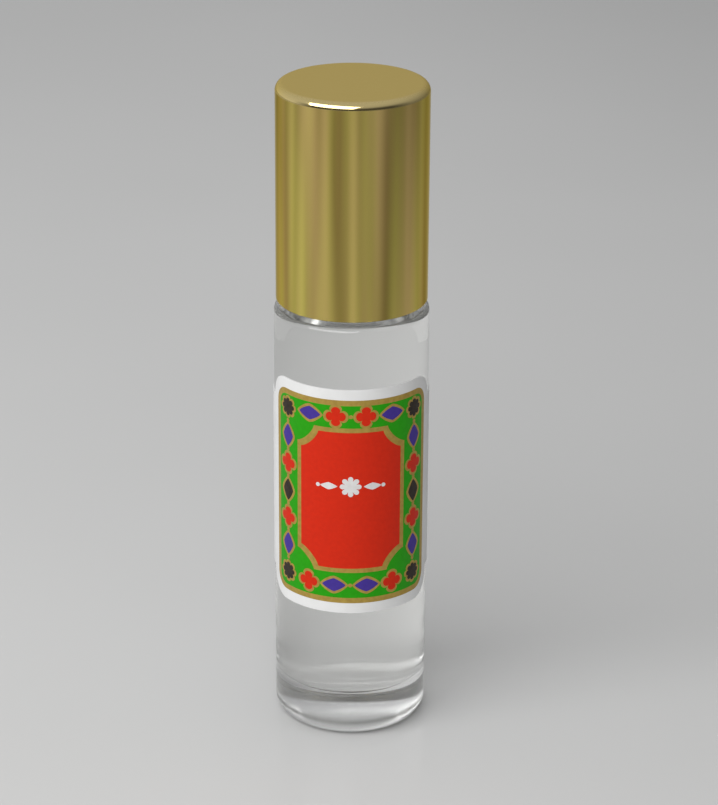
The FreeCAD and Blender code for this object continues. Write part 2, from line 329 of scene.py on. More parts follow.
def pick(piece, wanted):
    """Selects the vertices whose place passes a test, and the edges between them."""
    bpy.ops.mesh.select_all(action="DESELECT")
    mesh = bmesh.from_edit_mesh(piece.data)
    for vertex in mesh.verts:
        if wanted(vertex.co):
            vertex.select_set(True)
    mesh.select_flush(True)
    bmesh.update_edit_mesh(piece.data)


def pick_at(piece, places):
    """Selects the vertices at some places."""
    pick(piece, lambda place: any((place - spot).length < SAME_SPOT for spot in places))


def weld():
    """Selects everything and merges what touches."""
    bpy.ops.mesh.select_all(action="SELECT")
    bpy.ops.mesh.remove_doubles(threshold=TOUCH)


def close_up():
    """Merges what touches, faces it outwards and leaves edit mode."""
    weld()
    bpy.ops.mesh.normals_make_consistent(inside=False)
    bpy.ops.object.mode_set(mode="OBJECT")


def draw_section(piece, corners, closed):
    """Draws a half section: a vertex extruded from corner to corner, then rounded. A corner is its distance
    from the axis, its height and its rounding."""
    spots = [Vector((radius, 0.0, height)) for radius, height, rounding in corners]
    bpy.ops.transform.translate(value=spots[0])
    stops = spots + spots[:1] if closed else spots
    for here, there in zip(stops, stops[1:]):
        bpy.ops.mesh.extrude_vertices_move(TRANSFORM_OT_translate={"value": there - here})
    weld()
    for index, (radius, height, rounding) in enumerate(corners):
        if rounding > 0.0:
            here = spots[index]
            back = spots[index - 1] - here
            ahead = spots[(index + 1) % len(spots)] - here
            reach = rounding * math.tan((math.pi - back.angle(ahead)) / 2)
            steps = max(FEWEST_STEPS, min(MOST_STEPS, round(rounding / MM * STEPS_PER_MM)))
            pick_at(piece, [here])
            bpy.ops.mesh.bevel(offset=reach, segments=steps, profile=ROUND, affect="VERTICES")


def turn_piece(name, corners, slices, closed=False, runs=()):
    """Models a round piece: draws its half section, cuts some upright runs into equal lengths and sweeps it
    round the axis. A run is its distance from the axis, its two heights and its number of cuts."""
    piece = begin(name)
    draw_section(piece, corners, closed)
    for radius, low, high, cuts in runs:
        pick_at(piece, [Vector((radius, 0.0, low)), Vector((radius, 0.0, high))])
        bpy.ops.mesh.subdivide(number_cuts=cuts)
    bpy.ops.mesh.select_all(action="SELECT")
    bpy.ops.mesh.spin(steps=slices, angle=math.tau, center=CENTRE, axis=UP)
    close_up()
    return piece


def apply_modifier(piece, kind, **settings):
    """Adds a modifier, sets it and applies it."""
    bpy.ops.object.modifier_add(type=kind)
    modifier = piece.modifiers[-1]
    for key, value in settings.items():
        setattr(modifier, key, value)
    bpy.ops.object.modifier_apply(modifier=modifier.name)


def smooth_off(piece, angle=32.0):
    """Shades a piece smooth up to an angle, with flat runs kept flat."""
    bpy.ops.object.shade_smooth_by_angle(angle=math.radians(angle))
    apply_modifier(piece, "WEIGHTED_NORMAL", keep_sharp=True)


def hand_over(piece, material, body, node=None):
    """Gives a finished piece its material, its body and the solid that it stands for."""
    piece.data.materials.clear()
    piece.data.materials.append(material)
    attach(piece, body)
    if node:
        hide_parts(node)


def paint_faces(piece, material, wanted):
    """Gives some faces of a piece a second material."""
    piece.data.materials.append(material)
    for face in piece.data.polygons:
        if wanted(face):
            face.material_index = len(piece.data.materials) - 1


def dome(edge, rise, height, steps=10):
    """Corners of a shallow dome from the axis out to its edge."""
    sphere = (edge**2 + rise**2) / (2 * rise)
    radii = [edge * index / steps for index in range(steps)]
    return [(radius, height + rise - sphere + math.sqrt(sphere**2 - radius**2), 0.0) for radius in radii]


def arc(radius, height, start, end, steps):
    """Corners of an arc about a point on the axis, between two angles over the level."""
    angles = [math.radians(start + (end - start) * index / steps) for index in range(steps + 1)]
    return [(radius * math.cos(angle), height + radius * math.sin(angle), 0.0) for angle in angles]


def ridge(distance, crest, foot):
    """Height share of a thread's ridge at a distance from its middle."""
    share = max(0.0, min(1.0, (foot - abs(distance)) / (foot - crest)))
    return share * share * (3 - 2 * share)


def thread_start(vial):
    """Height at which the neck's thread begins."""
    return BRIM_HEIGHT - THREAD_DROP - vial.thread_pitch * vial.thread_turns


def raise_thread(piece, vial, wall, crest, span, start, half_widths):
    """Raises a thread from a straight wall: the wall's vertices move in or out along a helix that fades at
    its ends. The half widths are those of its crest and its foot."""
    low, high = span
    pitch, turns = vial.thread_pitch, vial.thread_turns
    for vertex in piece.data.vertices:
        place = vertex.co
        radius = math.hypot(place.x, place.y)
        if abs(radius - wall) > SAME_WALL or not low < place.z < high:
            continue
        angle = math.atan2(place.y, place.x) % math.tau / math.tau
        best = 0.0
        for lap in range(int(turns) + 2):
            travelled = angle + lap
            if travelled > turns:
                continue
            fade = min(1.0, travelled / THREAD_FADE, (turns - travelled) / THREAD_FADE)
            middle = start + pitch * travelled
            best = max(best, fade * ridge(place.z - middle, *half_widths))
        grown = wall + (crest - wall) * best
        place.x *= grown / radius
        place.y *= grown / radius


def put(tree, kind, settings=None, **inputs):
    """Adds a node, sets its choices, and sets or links its sockets by name."""
    node = tree.nodes.new(kind)
    for key, value in (settings or {}).items():
        setattr(node, key, value)
    for key, value in inputs.items():
        join(tree, node.inputs[key.replace("_", " ")], value)
    return node


def join(tree, socket, value):
    """Links a socket to another one, or sets its value."""
    if isinstance(value, bpy.types.NodeSocket):
        tree.links.new(value, socket)
    else:
        socket.default_value = value


def place_effect(tree, group, **inputs):
    """Places a shared effect in a material with its own values."""
    return put(tree, "ShaderNodeGroup", {"node_tree": group}, **inputs).outputs


def axes(tree, coordinates="Object"):
    """X, Y and Z of the place on the object, or of another kind of coordinates."""
    place = put(tree, "ShaderNodeTexCoord").outputs[coordinates]
    return put(tree, "ShaderNodeSeparateXYZ", Vector=place).outputs


def calculate(tree, operation, *given, kind="ShaderNodeMath", output="Value"):
    """Works a value out of others, or a vector with the node for vectors."""
    node = put(tree, kind, {"operation": operation})
    for socket, value in zip(node.inputs, given):
        join(tree, socket, value)
    return node.outputs[output]


def between(tree, value, low, high, from_low=0.0, from_high=1.0):
    """Maps a value from one range to another, kept inside it."""
    node = put(tree, "ShaderNodeMapRange", {"clamp": True}, Value=value, To_Min=low, To_Max=high,
               From_Min=from_low, From_Max=from_high)
    return node.outputs["Result"]


def ramp(tree, value, start, end):
    """Goes from 0 where a value is at the start of a range to 1 where it is at the end."""
    return between(tree, value, 0.0, 1.0, start, end)


def blend_values(tree, share, first, second):
    """Mixes two values by a share that changes over the surface."""
    node = put(tree, "ShaderNodeMix")
    for index, value in ((0, share), (2, first), (3, second)):
        join(tree, node.inputs[index], value)
    return node.outputs[0]


def blend_colours(tree, share, first, second):
    """Mixes two colours by a share that changes over the surface."""
    node = put(tree, "ShaderNodeMix", {"data_type": "RGBA"})
    colours = [socket for socket in node.inputs if socket.type == "RGBA"]
    join(tree, node.inputs[0], share)
    for socket, colour in zip(colours, (first, second)):
        join(tree, socket, colour if isinstance(colour, bpy.types.NodeSocket) else (*colour, 1.0))
    return next(socket for socket in node.outputs if socket.type == "RGBA")


def new_group(name, inputs, outputs):
    """An empty effect with named inputs and outputs."""
    tree = bpy.data.node_groups.new(name, "ShaderNodeTree")
    for label, value in inputs:
        socket = tree.interface.new_socket(name=label, in_out="INPUT", socket_type="NodeSocketFloat")
        socket.default_value = value
    for label in outputs:
        tree.interface.new_socket(name=label, in_out="OUTPUT", socket_type="NodeSocketFloat")
    return tree, tree.nodes.new("NodeGroupInput").outputs, tree.nodes.new("NodeGroupOutput").inputs


def cloud_and_grain():
    """Effect with a soft cloud and a fine grain over the surface."""
    if "cloud_and_grain" in bpy.data.node_groups:
        return bpy.data.node_groups["cloud_and_grain"]
    sizes = [("Cloud Scale", 120.0), ("Grain Scale", 2500.0)]
    tree, given, made = new_group("cloud_and_grain", sizes, ["Cloud", "Grain"])
    place = put(tree, "ShaderNodeTexCoord").outputs["Object"]
    for label, detail, low, high in (("Cloud", 3.0, 0.3, 0.7), ("Grain", 2.0, 0.25, 0.75)):
        noise = put(tree, "ShaderNodeTexNoise", Vector=place, Scale=given[label + " Scale"], Detail=detail)
        join(tree, made[label], ramp(tree, noise.outputs["Fac"], low, high))
    return tree


def streaks_and_painted_reflections():
    """Effect with upright streaks round the axis, in shade and in hue: partly those of a drawn and polished
    tube, partly painted reflections of darker and lighter surroundings.
    """
    sizes = [("Shade Scale", 7.0), ("Hue Scale", 8.0), ("Slant", 4.0)]
    tree, given, made = new_group("streaks_and_painted_reflections", sizes, ["Shade", "Hue"])
    place = axes(tree)
    vectors = {"kind": "ShaderNodeVectorMath", "output": "Vector"}
    flat = put(tree, "ShaderNodeCombineXYZ", X=place["X"], Y=place["Y"]).outputs["Vector"]
    around = calculate(tree, "NORMALIZE", flat, **vectors)
    height = calculate(tree, "MULTIPLY", place["Z"], given["Slant"])
    for label, shift in (("Shade", 2.0), ("Hue", 5.0)):
        lift = put(tree, "ShaderNodeCombineXYZ", X=shift, Z=height).outputs["Vector"]
        whole = calculate(tree, "ADD", around, lift, **vectors)
        noise = put(tree, "ShaderNodeTexNoise", Vector=whole, Scale=given[label + " Scale"], Detail=1.0)
        join(tree, made[label], ramp(tree, noise.outputs["Fac"], *STREAK_EDGES))
    return tree


def new_material(name):
    """A material with its node tree and its main shader's sockets."""
    material = bpy.data.materials.new(name)
    material.use_nodes = True
    return material, material.node_tree, sockets(material)


def sockets(material):
    """Sockets of a material's main shader."""
    return material.node_tree.nodes["Principled BSDF"].inputs


def set_values(material, **values):
    """Sets plain values on a material's main shader."""
    for key, value in values.items():
        sockets(material)[key.replace("_", " ")].default_value = value


def clouded(name, first, second, roughness, cloud, grain, relief=0.0):
    """A finish whose colour clouds between two tints, with a fine grain in its gloss and relief."""
    material, tree, shader = new_material(name)
    effect = place_effect(tree, cloud_and_grain(), Cloud_Scale=cloud, Grain_Scale=grain)
    join(tree, shader["Base Color"], blend_colours(tree, effect["Cloud"], first, second))
    join(tree, shader["Roughness"], between(tree, effect["Grain"], *roughness))
    if relief:
        bump = put(tree, "ShaderNodeBump", Height=effect["Grain"], Distance=relief, Strength=1.0)
        join(tree, shader["Normal"], bump.outputs["Normal"])
    return material


def clear(name, first, second, ior, roughness, cloud):
    """A clear finish, faintly streaked and with a few dull marks."""
    material = clouded(name, first, second, roughness, cloud, grain=cloud * CLEAR_GRAIN)
    set_values(material, Transmission_Weight=1.0, IOR=ior)
    return material


def dull_band(material, low, high, fade, roughness):
    """Dulls a clear finish between two heights, as moulded glass is where it left a seam of the mould."""
    tree = material.node_tree
    socket = sockets(material)["Roughness"]
    height = axes(tree)["Z"]
    over = ramp(tree, height, low - fade, low)
    under = ramp(tree, height, high + fade, high)
    band = calculate(tree, "MULTIPLY", over, under)
    join(tree, socket, blend_values(tree, band, socket.links[0].from_socket, roughness))


def inside_corners(vial, radius, floor, ceiling, mouth):
    """Half section of the bottle's inside, from the mouth down to the middle of the floor."""
    floor_edge = radius - vial.inner_heel
    return [
        (mouth, ceiling, vial.neck_mouth),
        (radius, ceiling, vial.inner_shoulder),
        (radius, floor, vial.inner_heel),
        (floor_edge, floor, 0.0),
        *reversed(dome(floor_edge, vial.base_crown, floor)),
    ]


class ROLLON_OT_glass_bottle(bpy.types.Operator):
    """Model the glass bottle with its heavy base and threaded neck"""

    bl_idname = "rollon.glass_bottle"
    bl_label = "Glass Bottle"

    def execute(self, context):
        vial = context.scene.rollon_vial
        foot_inside = BODY_RADIUS - vial.heel - vial.foot_width
        cavity = BODY_RADIUS - vial.wall
        ceiling = vial.body_height - vial.shoulder_thickness
        mouth = vial.neck_bore + vial.neck_mouth
        neck_foot = vial.body_height + vial.neck_root
        corners = [
            *dome(foot_inside, vial.push_up, 0.0),
            (foot_inside, 0.0, 0.0),
            (BODY_RADIUS, 0.0, vial.heel),
            (BODY_RADIUS, vial.body_height, vial.shoulder),
            (vial.neck_radius, vial.body_height, vial.neck_root),
            (vial.neck_radius, BRIM_HEIGHT, vial.brim),
            (vial.neck_bore, BRIM_HEIGHT, vial.brim),
            (vial.neck_bore, OIL_HIGH.z, 0.0),
            *inside_corners(vial, cavity, vial.base, ceiling, vial.neck_bore),
        ]
        thread_run = (vial.neck_radius, neck_foot, BRIM_HEIGHT - vial.brim, NECK_CUTS)
        piece = turn_piece("glass_vial", corners, vial.slices, runs=[thread_run])
        raise_thread(piece, vial, vial.neck_radius, vial.neck_radius + vial.thread_depth,
                     (vial.body_height, BRIM_HEIGHT), thread_start(vial), half_widths=(0.3 * MM, 0.6 * MM))
        smooth_off(piece, angle=50.0)
        tints = (vial.glass, vial.glass_deep)
        material = clear("clear_glass", *tints, GLASS_IOR, roughness=(0.0, 0.02), cloud=140.0)
        seam_foot = vial.body_height - SEAM_DROP * vial.shoulder
        dull_band(material, seam_foot, neck_foot, SEAM_FADE * vial.shoulder, vial.seam_haze)
        dull_band(material, 0.0, HEEL_HEIGHT * vial.heel, HEEL_FADE * vial.heel, vial.heel_haze)
        hand_over(piece, material, "bottle", "glass_bottle")

        def is_wetted(face):
            """Whether the oil stands against a face."""
            away = math.hypot(face.center.x, face.center.y)
            in_body = vial.base - TOUCH < face.center.z < ceiling + TOUCH and away < cavity + TOUCH
            in_neck = ceiling - TOUCH < face.center.z < OIL_HIGH.z and away < mouth
            return in_body or in_neck

        wetted = clear("wetted_glass", *tints, GLASS_IOR / OIL_IOR, roughness=(0.0, 0.01), cloud=140.0)
        paint_faces(piece, wetted, is_wetted)
        return {"FINISHED"}


class ROLLON_OT_perfume_oil(bpy.types.Operator):
    """Model the clear oil that fills the bottle, wetting the glass"""

    bl_idname = "rollon.perfume_oil"
    bl_label = "Perfume Oil"

    def execute(self, context):
        vial = context.scene.rollon_vial
        ceiling = vial.body_height - vial.shoulder_thickness - OIL_GAP
        bore = vial.neck_bore - OIL_GAP
        corners = [(0.0, OIL_HIGH.z - CREEP, 0.0)]
        for index in range(CREEP_STEPS + 1):
            share = index / CREEP_STEPS
            reach = bore - CREEP * CREEP_SPREAD * (1 - share)
            corners.append((reach, OIL_HIGH.z - CREEP * (1 - share**2), 0.0))
        cavity = BODY_RADIUS - vial.wall - OIL_GAP
        corners += inside_corners(vial, cavity, vial.base + OIL_GAP, ceiling, bore)
        piece = turn_piece("oil_fill", corners, vial.slices)
        smooth_off(piece, angle=50.0)
        finish = {"roughness": (0.0, 0.01), "cloud": 90.0}
        material = clear("clear_oil", vial.oil, vial.oil_deep, OIL_IOR, **finish)
        hand_over(piece, material, "bottle", "perfume_oil")
        at_glass = clear("oil_at_glass", vial.oil, vial.oil_deep, 1.0, **finish)
        paint_faces(piece, at_glass,
                    lambda face: face.normal.z < SURFACE_SLOPE or face.center.z < OIL_HIGH.z - 2 * CREEP)
        return {"FINISHED"}


def begin_sheet(name):
    """Starts an empty flat sheet, in edit mode. Its X is the way round the bottle and its Y the height."""
    piece = begin(name)
    bpy.ops.mesh.delete(type="VERT")
    return piece


def lay_plate(width, height, middle, corner, profile=ROUND, line=0.0):
    """Lays a plate with shaped corners on the sheet, or only a line along its edge."""
    spot = (0.0, middle, 0.0)
    bpy.ops.mesh.primitive_plane_add(size=1.0, location=spot)
    bpy.ops.transform.resize(value=(width, height, 1.0), center_override=spot)
    bpy.ops.mesh.bevel(offset=corner, segments=12, profile=profile, affect="VERTICES")
    if line:
        bpy.ops.mesh.inset(thickness=line, depth=0.0)
        bpy.ops.mesh.delete(type="FACE")


def lay_motif(piece, kind, spot, grow=0.0):
    """Lays one motif on the sheet, grown by the width of its outline."""
    reach_of, first, second, power = kind
    at = Vector((*spot, 0.0))
    bpy.ops.mesh.primitive_circle_add(vertices=96, radius=first, fill_type="NGON", location=at)
    mesh = bmesh.from_edit_mesh(piece.data)
    for vertex in mesh.verts:
        if vertex.select:
            away = vertex.co - at
            turn = math.atan2(away.y, away.x)
            reach = reach_of(turn, first, second, power) + grow
            vertex.co = at + Vector((math.cos(turn) * reach, math.sin(turn) * reach, 0.0))
    bmesh.update_edit_mesh(piece.data)


def flower_reach(turn, radius, petals, depth):
    """How far a flower with round petals reaches at an angle."""
    return radius * (1.0 - depth + depth * math.sqrt(abs(math.cos(petals * turn / 2))))


def lozenge_reach(turn, half_width, half_height, power):
    """How far a lozenge with bowed sides reaches at an angle."""
    across = abs(math.cos(turn) / half_width) ** power
    upward = abs(math.sin(turn) / half_height) ** power
    return (across + upward) ** (-1.0 / power)


def wrap_sheet(piece, radius, thickness, offset, column):
    """Cuts the sheet into upright strips, wraps it round the bottle and gives it its thickness."""
    strips = math.ceil(LABEL_REACH / column)
    for index in range(-strips, strips + 1):
        bpy.ops.mesh.select_all(action="SELECT")
        bpy.ops.mesh.bisect(plane_co=(index * column, 0.0, 0.0), plane_no=(1.0, 0.0, 0.0))
    close_up()
    for vertex in piece.data.vertices:
        angle = vertex.co.x / LABEL_RADIUS
        vertex.co = (radius * math.sin(angle), -radius * math.cos(angle), vertex.co.y)
    apply_modifier(piece, "SOLIDIFY", thickness=thickness, offset=offset)
    bpy.ops.object.shade_smooth_by_angle(angle=math.radians(30.0))


class ROLLON_OT_front_label(bpy.types.Operator):
    """Model the paper label wrapped on the front of the bottle"""

    bl_idname = "rollon.front_label"
    bl_label = "Front Label"

    def execute(self, context):
        label = context.scene.rollon_label
        piece = begin_sheet("label_paper")
        lay_plate(2 * label.panel_reach, LABEL_HIGH.z - LABEL_LOW.z, LABEL_MIDDLE, label.corner)
        wing = LABEL_REACH - label.panel_reach
        for side in (-1, 1):
            pick(piece, lambda place: side * place.x > label.panel_reach - TOUCH)
            bpy.ops.mesh.extrude_region_move(TRANSFORM_OT_translate={"value": (side * wing, 0.0, 0.0)})
        wrap_sheet(piece, LABEL_RADIUS, label.thickness, -1.0, label.column)
        material = clouded("label_paper", label.paper, label.paper_fibre, roughness=(0.42, 0.55),
                           cloud=300.0, grain=6000.0, relief=0.002 * MM)
        hand_over(piece, material, "bottle", "front_label")

        def faces_glass(face):
            """Whether a face looks inwards."""
            return face.normal.x * face.center.x + face.normal.y * face.center.y < -TOUCH

        # Painted light: the inward faces get a paler paper colour than the front, standing in for light
        # that shines through the paper.
        back = clouded("label_back_painted_light", label.back, label.back_gum, roughness=(0.5, 0.6),
                       cloud=200.0, grain=3000.0)
        paint_faces(piece, back, faces_glass)
        return {"FINISHED"}


# Motifs: what gives their outline, with its sizes and its power or depth
ROSETTE = (flower_reach, 1.2 * MM, 8, 0.3)
FOURFOIL = (flower_reach, 1.3 * MM, 4, 0.5)
STAR = (flower_reach, 1.4 * MM, 8, 0.45)
TALL_LOZENGE = (lozenge_reach, 0.98 * MM, 1.5 * MM, 1.25)
WIDE_LOZENGE = (lozenge_reach, 1.55 * MM, 0.92 * MM, 1.25)
SLIM_LOZENGE = (lozenge_reach, 1.15 * MM, 0.5 * MM, 1.2)
DOT = (lozenge_reach, 0.27 * MM, 0.27 * MM, 2.0)

# Half of the border: ink, motif, and its place in millimetres from the middle and over the table
HALF_BORDER = (
    ("dark", ROSETTE, 9.3, 45.85),
    ("violet", TALL_LOZENGE, 9.3, 41.95),
    ("red", FOURFOIL, 9.3, 38.1),
    ("dark", TALL_LOZENGE, 9.3, 34.3),
    ("red", FOURFOIL, 9.3, 30.5),
    ("violet", TALL_LOZENGE, 9.3, 26.65),
    ("dark", ROSETTE, 9.3, 22.7),
    ("violet", WIDE_LOZENGE, 5.55, 46.05),
    ("red", FOURFOIL, 1.95, 46.05),
    ("red", FOURFOIL, 5.7, 22.45),
    ("violet", WIDE_LOZENGE, 2.15, 22.45),
)
MIDDLE_DOTS = ((0.0, 46.05), (0.0, 22.45))
HALF_DOTS = ((9.3, 43.95), (9.3, 40.0), (9.3, 36.25), (9.3, 32.35), (9.3, 28.6), (9.3, 24.65))

# The white ornament's height over the table, and where its lozenges and dots lie from the middle
ORNAMENT_HEIGHT = 36.4 * MM
ORNAMENT_LOZENGE = 2.85 * MM
ORNAMENT_DOT = 4.3 * MM


class ROLLON_OT_label_print(bpy.types.Operator):
    """Print the label: a gold frame, a green border with small motifs and a red panel"""

    bl_idname = "rollon.label_print"
    bl_label = "Label Print"

    def execute(self, context):
        label = context.scene.rollon_label
        wide = 2 * (label.panel_reach - label.margin_side)
        tall = LABEL_HIGH.z - LABEL_LOW.z - 2 * label.margin_end
        thick = 2 * label.frame_line
        sides = (-1, 1)
        motifs = [(ink, kind, (side * x * MM, y * MM)) for side in sides for ink, kind, x, y in HALF_BORDER]
        dots = [(x * MM, y * MM) for x, y in MIDDLE_DOTS]
        dots += [(side * x * MM, y * MM) for side in sides for x, y in HALF_DOTS]

        piece = begin_sheet("print_frame")
        lay_plate(wide, tall, LABEL_MIDDLE, label.frame_corner, line=label.frame_line)
        self.dry(piece, label, "gold", coat=0)

        piece = begin_sheet("print_green")
        lay_plate(wide - thick, tall - thick, LABEL_MIDDLE, label.frame_corner - label.frame_line)
        self.dry(piece, label, "green", coat=0)

        piece = begin_sheet("print_gold")
        self.lay_panel(label, 2 * label.outline)
        for ink, kind, spot in motifs:
            lay_motif(piece, kind, spot, label.motif_line)
        for spot in dots:
            lay_motif(piece, DOT, spot)
        self.dry(piece, label, "gold", coat=1)

        for ink in ("red", "violet", "dark"):
            piece = begin_sheet("print_" + ink)
            for motif_ink, kind, spot in motifs:
                if motif_ink == ink:
                    lay_motif(piece, kind, spot)
            if ink == "red":
                self.lay_panel(label, 0.0)
            self.dry(piece, label, ink, coat=2)

        piece = begin_sheet("print_white")
        lay_motif(piece, STAR, (0.0, ORNAMENT_HEIGHT))
        for side in sides:
            lay_motif(piece, SLIM_LOZENGE, (side * ORNAMENT_LOZENGE, ORNAMENT_HEIGHT))
            lay_motif(piece, DOT, (side * ORNAMENT_DOT, ORNAMENT_HEIGHT))
        self.dry(piece, label, "white", coat=3)
        return {"FINISHED"}

    def lay_panel(self, label, grow):
        """Lays the panel with its scooped corners on the sheet, grown by the width of its outline."""
        lay_plate(label.panel_width + grow, label.panel_height + grow, label.panel_centre,
                  label.panel_scoop, SCOOPED)

    def dry(self, piece, label, ink, coat):
        """Wraps one coat of ink over the coats under it and gives it its finish."""
        wrap_sheet(piece, LABEL_RADIUS + coat * label.film, label.film, 1.0, label.column)
        name = ink + "_ink"
        material = bpy.data.materials.get(name)
        if material is None:
            material = clouded(name, getattr(label, ink), getattr(label, ink + "_thin"),
                               roughness=(0.34, 0.46), cloud=1800.0, grain=9000.0, relief=0.001 * MM)
            set_values(material, Specular_IOR_Level=0.15, Metallic=0.35 if ink == "gold" else 0.0)
        hand_over(piece, material, "bottle")


class ROLLON_OT_roller_fitment(bpy.types.Operator):
    """Model the plastic plug with its sealing ribs, flange, collar and socket"""

    bl_idname = "rollon.roller_fitment"
    bl_label = "Roller Fitment"

    def execute(self, context):
        roller = context.scene.rollon_roller
        foot = FITMENT_LOW.z
        wall = roller.plug_radius - roller.rib_height
        socket = BALL_RADIUS + roller.ball_play
        lip_angle = math.degrees(math.acos(roller.lip_opening / socket))
        seat_angle = -math.degrees(math.acos(roller.throat / socket))
        corners = [
            (roller.throat, foot, 0.0),
            (wall - roller.plug_lead / 2, foot, 0.0),
            (wall, foot + roller.plug_lead, 0.0),
        ]
        pitch = (BRIM_HEIGHT - foot - roller.plug_lead) / (roller.rib_count + 1)
        for index in range(roller.rib_count):
            middle = foot + roller.plug_lead + pitch * (index + 1)
            for share in (-1.0, -0.75, -0.5, -0.25, 0.0, 0.25, 0.5, 0.75, 1.0):
                rise = roller.rib_height * (1 - share * share)
                corners.append((wall + rise, middle + share * roller.rib_width / 2, 0.0))
        corners += [
            (wall, BRIM_HEIGHT, 0.0),
            (FITMENT_HIGH.x, BRIM_HEIGHT, 0.0),
            (FITMENT_HIGH.x, roller.flange_top, roller.flange_edge),
            (roller.collar_radius, roller.flange_top, roller.flange_edge),
            (roller.collar_radius, BALL_HEIGHT, roller.collar_edge),
            (roller.lip_radius, FITMENT_HIGH.z, roller.lip_edge),
            *arc(socket, BALL_HEIGHT, lip_angle, seat_angle, steps=22),
        ]
        piece = turn_piece("roller_housing", corners, slices=144, closed=True)
        self.cut_grooves(piece, roller, socket)
        smooth_off(piece, angle=40.0)
        material = clouded("natural_plastic", roller.plastic, roller.plastic_cloud, roughness=(0.26, 0.36),
                           cloud=260.0, grain=3000.0, relief=0.002 * MM)
        set_values(material, Subsurface_Weight=0.25, Subsurface_Radius=(0.0012, 0.0012, 0.001),
                   Subsurface_Scale=1.0)
        hand_over(piece, material, "bottle", "roller_fitment")
        return {"FINISHED"}

    def cut_grooves(self, piece, roller, socket):
        """Sinks four feed grooves into the lower half of the socket."""
        middle = Vector((0.0, 0.0, BALL_HEIGHT))
        half = roller.groove_width / 2
        for vertex in piece.data.vertices:
            away = vertex.co - middle
            near_axis = min(abs(away.x), abs(away.y)) <= half
            if abs(away.length - socket) < SAME_WALL and away.z < 0.0 and near_axis:
                if math.hypot(away.x, away.y) > roller.throat + GROOVE_END:
                    vertex.co = middle + away * ((socket + roller.groove_depth) / socket)


class ROLLON_OT_roller_ball(bpy.types.Operator):
    """Model the polished steel ball"""

    bl_idname = "rollon.roller_ball"
    bl_label = "Roller Ball"

    def execute(self, context):
        roller = context.scene.rollon_roller
        corners = arc(BALL_RADIUS, BALL_HEIGHT, -90.0, 90.0, steps=56)
        corners[0] = (0.0, BALL_LOW.z, 0.0)
        corners[-1] = (0.0, BALL_HIGH.z, 0.0)
        piece = turn_piece("steel_ball", corners, slices=112)
        smooth_off(piece)
        material = clouded("polished_steel", roller.steel, roller.steel_haze, roughness=(0.05, 0.12),
                           cloud=320.0, grain=2600.0)
        set_values(material, Metallic=1.0)
        hand_over(piece, material, "ball", "roller_ball")
        return {"FINISHED"}


class ROLLON_OT_seal_pad(bpy.types.Operator):
    """Model the soft disc that closes down on the ball"""

    bl_idname = "rollon.seal_pad"
    bl_label = "Seal Pad"

    def execute(self, context):
        roller = context.scene.rollon_roller
        corners = [
            (0.0, PAD_LOW.z, 0.0),
            (PAD_HIGH.x, PAD_LOW.z, roller.pad_edge),
            (PAD_HIGH.x, PAD_HIGH.z, roller.pad_edge),
            (0.0, PAD_HIGH.z, 0.0),
        ]
        piece = turn_piece("foam_pad", corners, slices=96)
        smooth_off(piece)
        material = clouded("soft_pad", roller.pad, roller.pad_cell, roughness=(0.75, 0.9), cloud=1500.0,
                           grain=4200.0, relief=0.02 * MM)
        hand_over(piece, material, "pad", "seal_pad")
        return {"FINISHED"}


